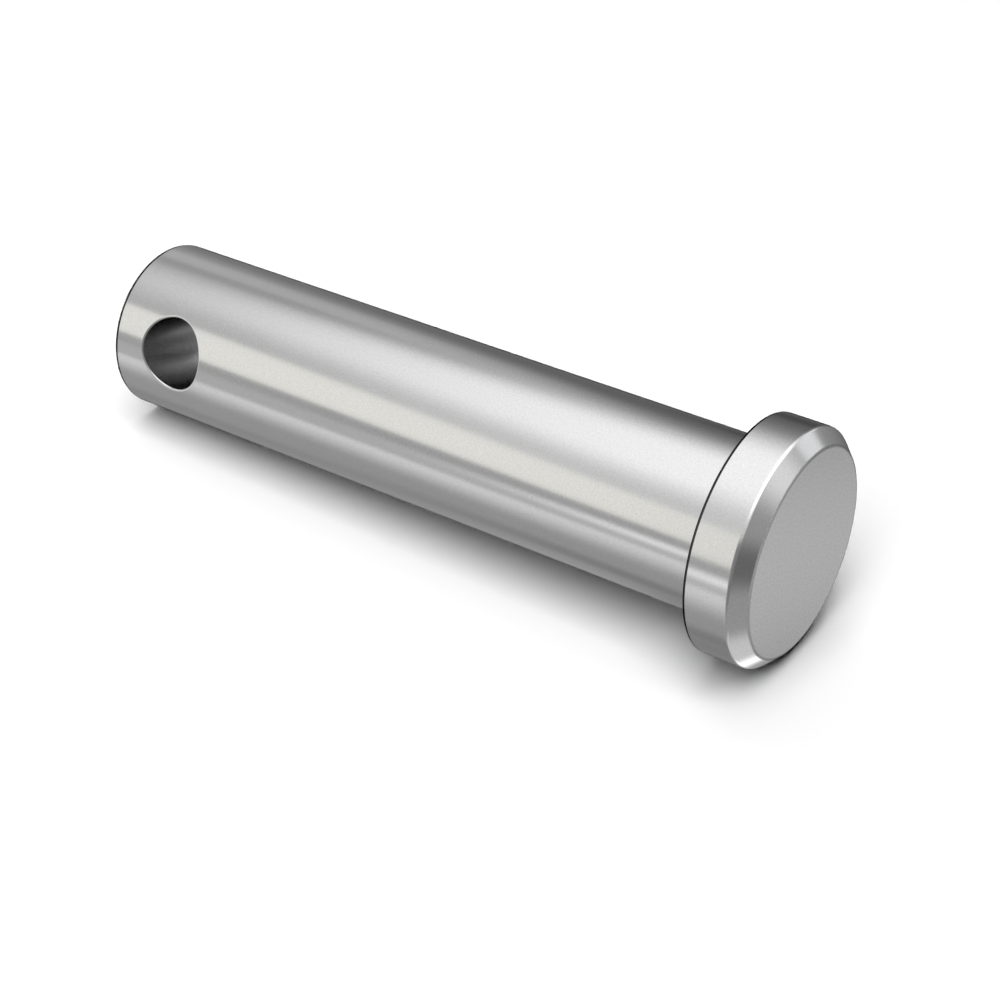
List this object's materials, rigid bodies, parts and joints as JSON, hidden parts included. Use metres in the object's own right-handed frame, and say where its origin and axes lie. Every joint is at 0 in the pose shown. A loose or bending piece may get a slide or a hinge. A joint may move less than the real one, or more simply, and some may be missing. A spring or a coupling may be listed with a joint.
{
  "type": "clevis pin",
  "caption": "Plain round steel clevis pin with a flat chamfered head at one end and a cross hole for a cotter pin near the other.",
  "frame": {"origin": "centre of the head's flat face, which the pin stands on", "axes": "+Z along the pin from the head to the free end; the cross hole runs along Y"},
  "size_m": [0.0126, 0.0126, 0.0414],
  "materials": {
    "steel": "bare turned steel, bright along the shank, the head's face satin"
  },
  "bodies": {
    "root": {"clevis_pin": "steel"}
  },
  "joints": []
}
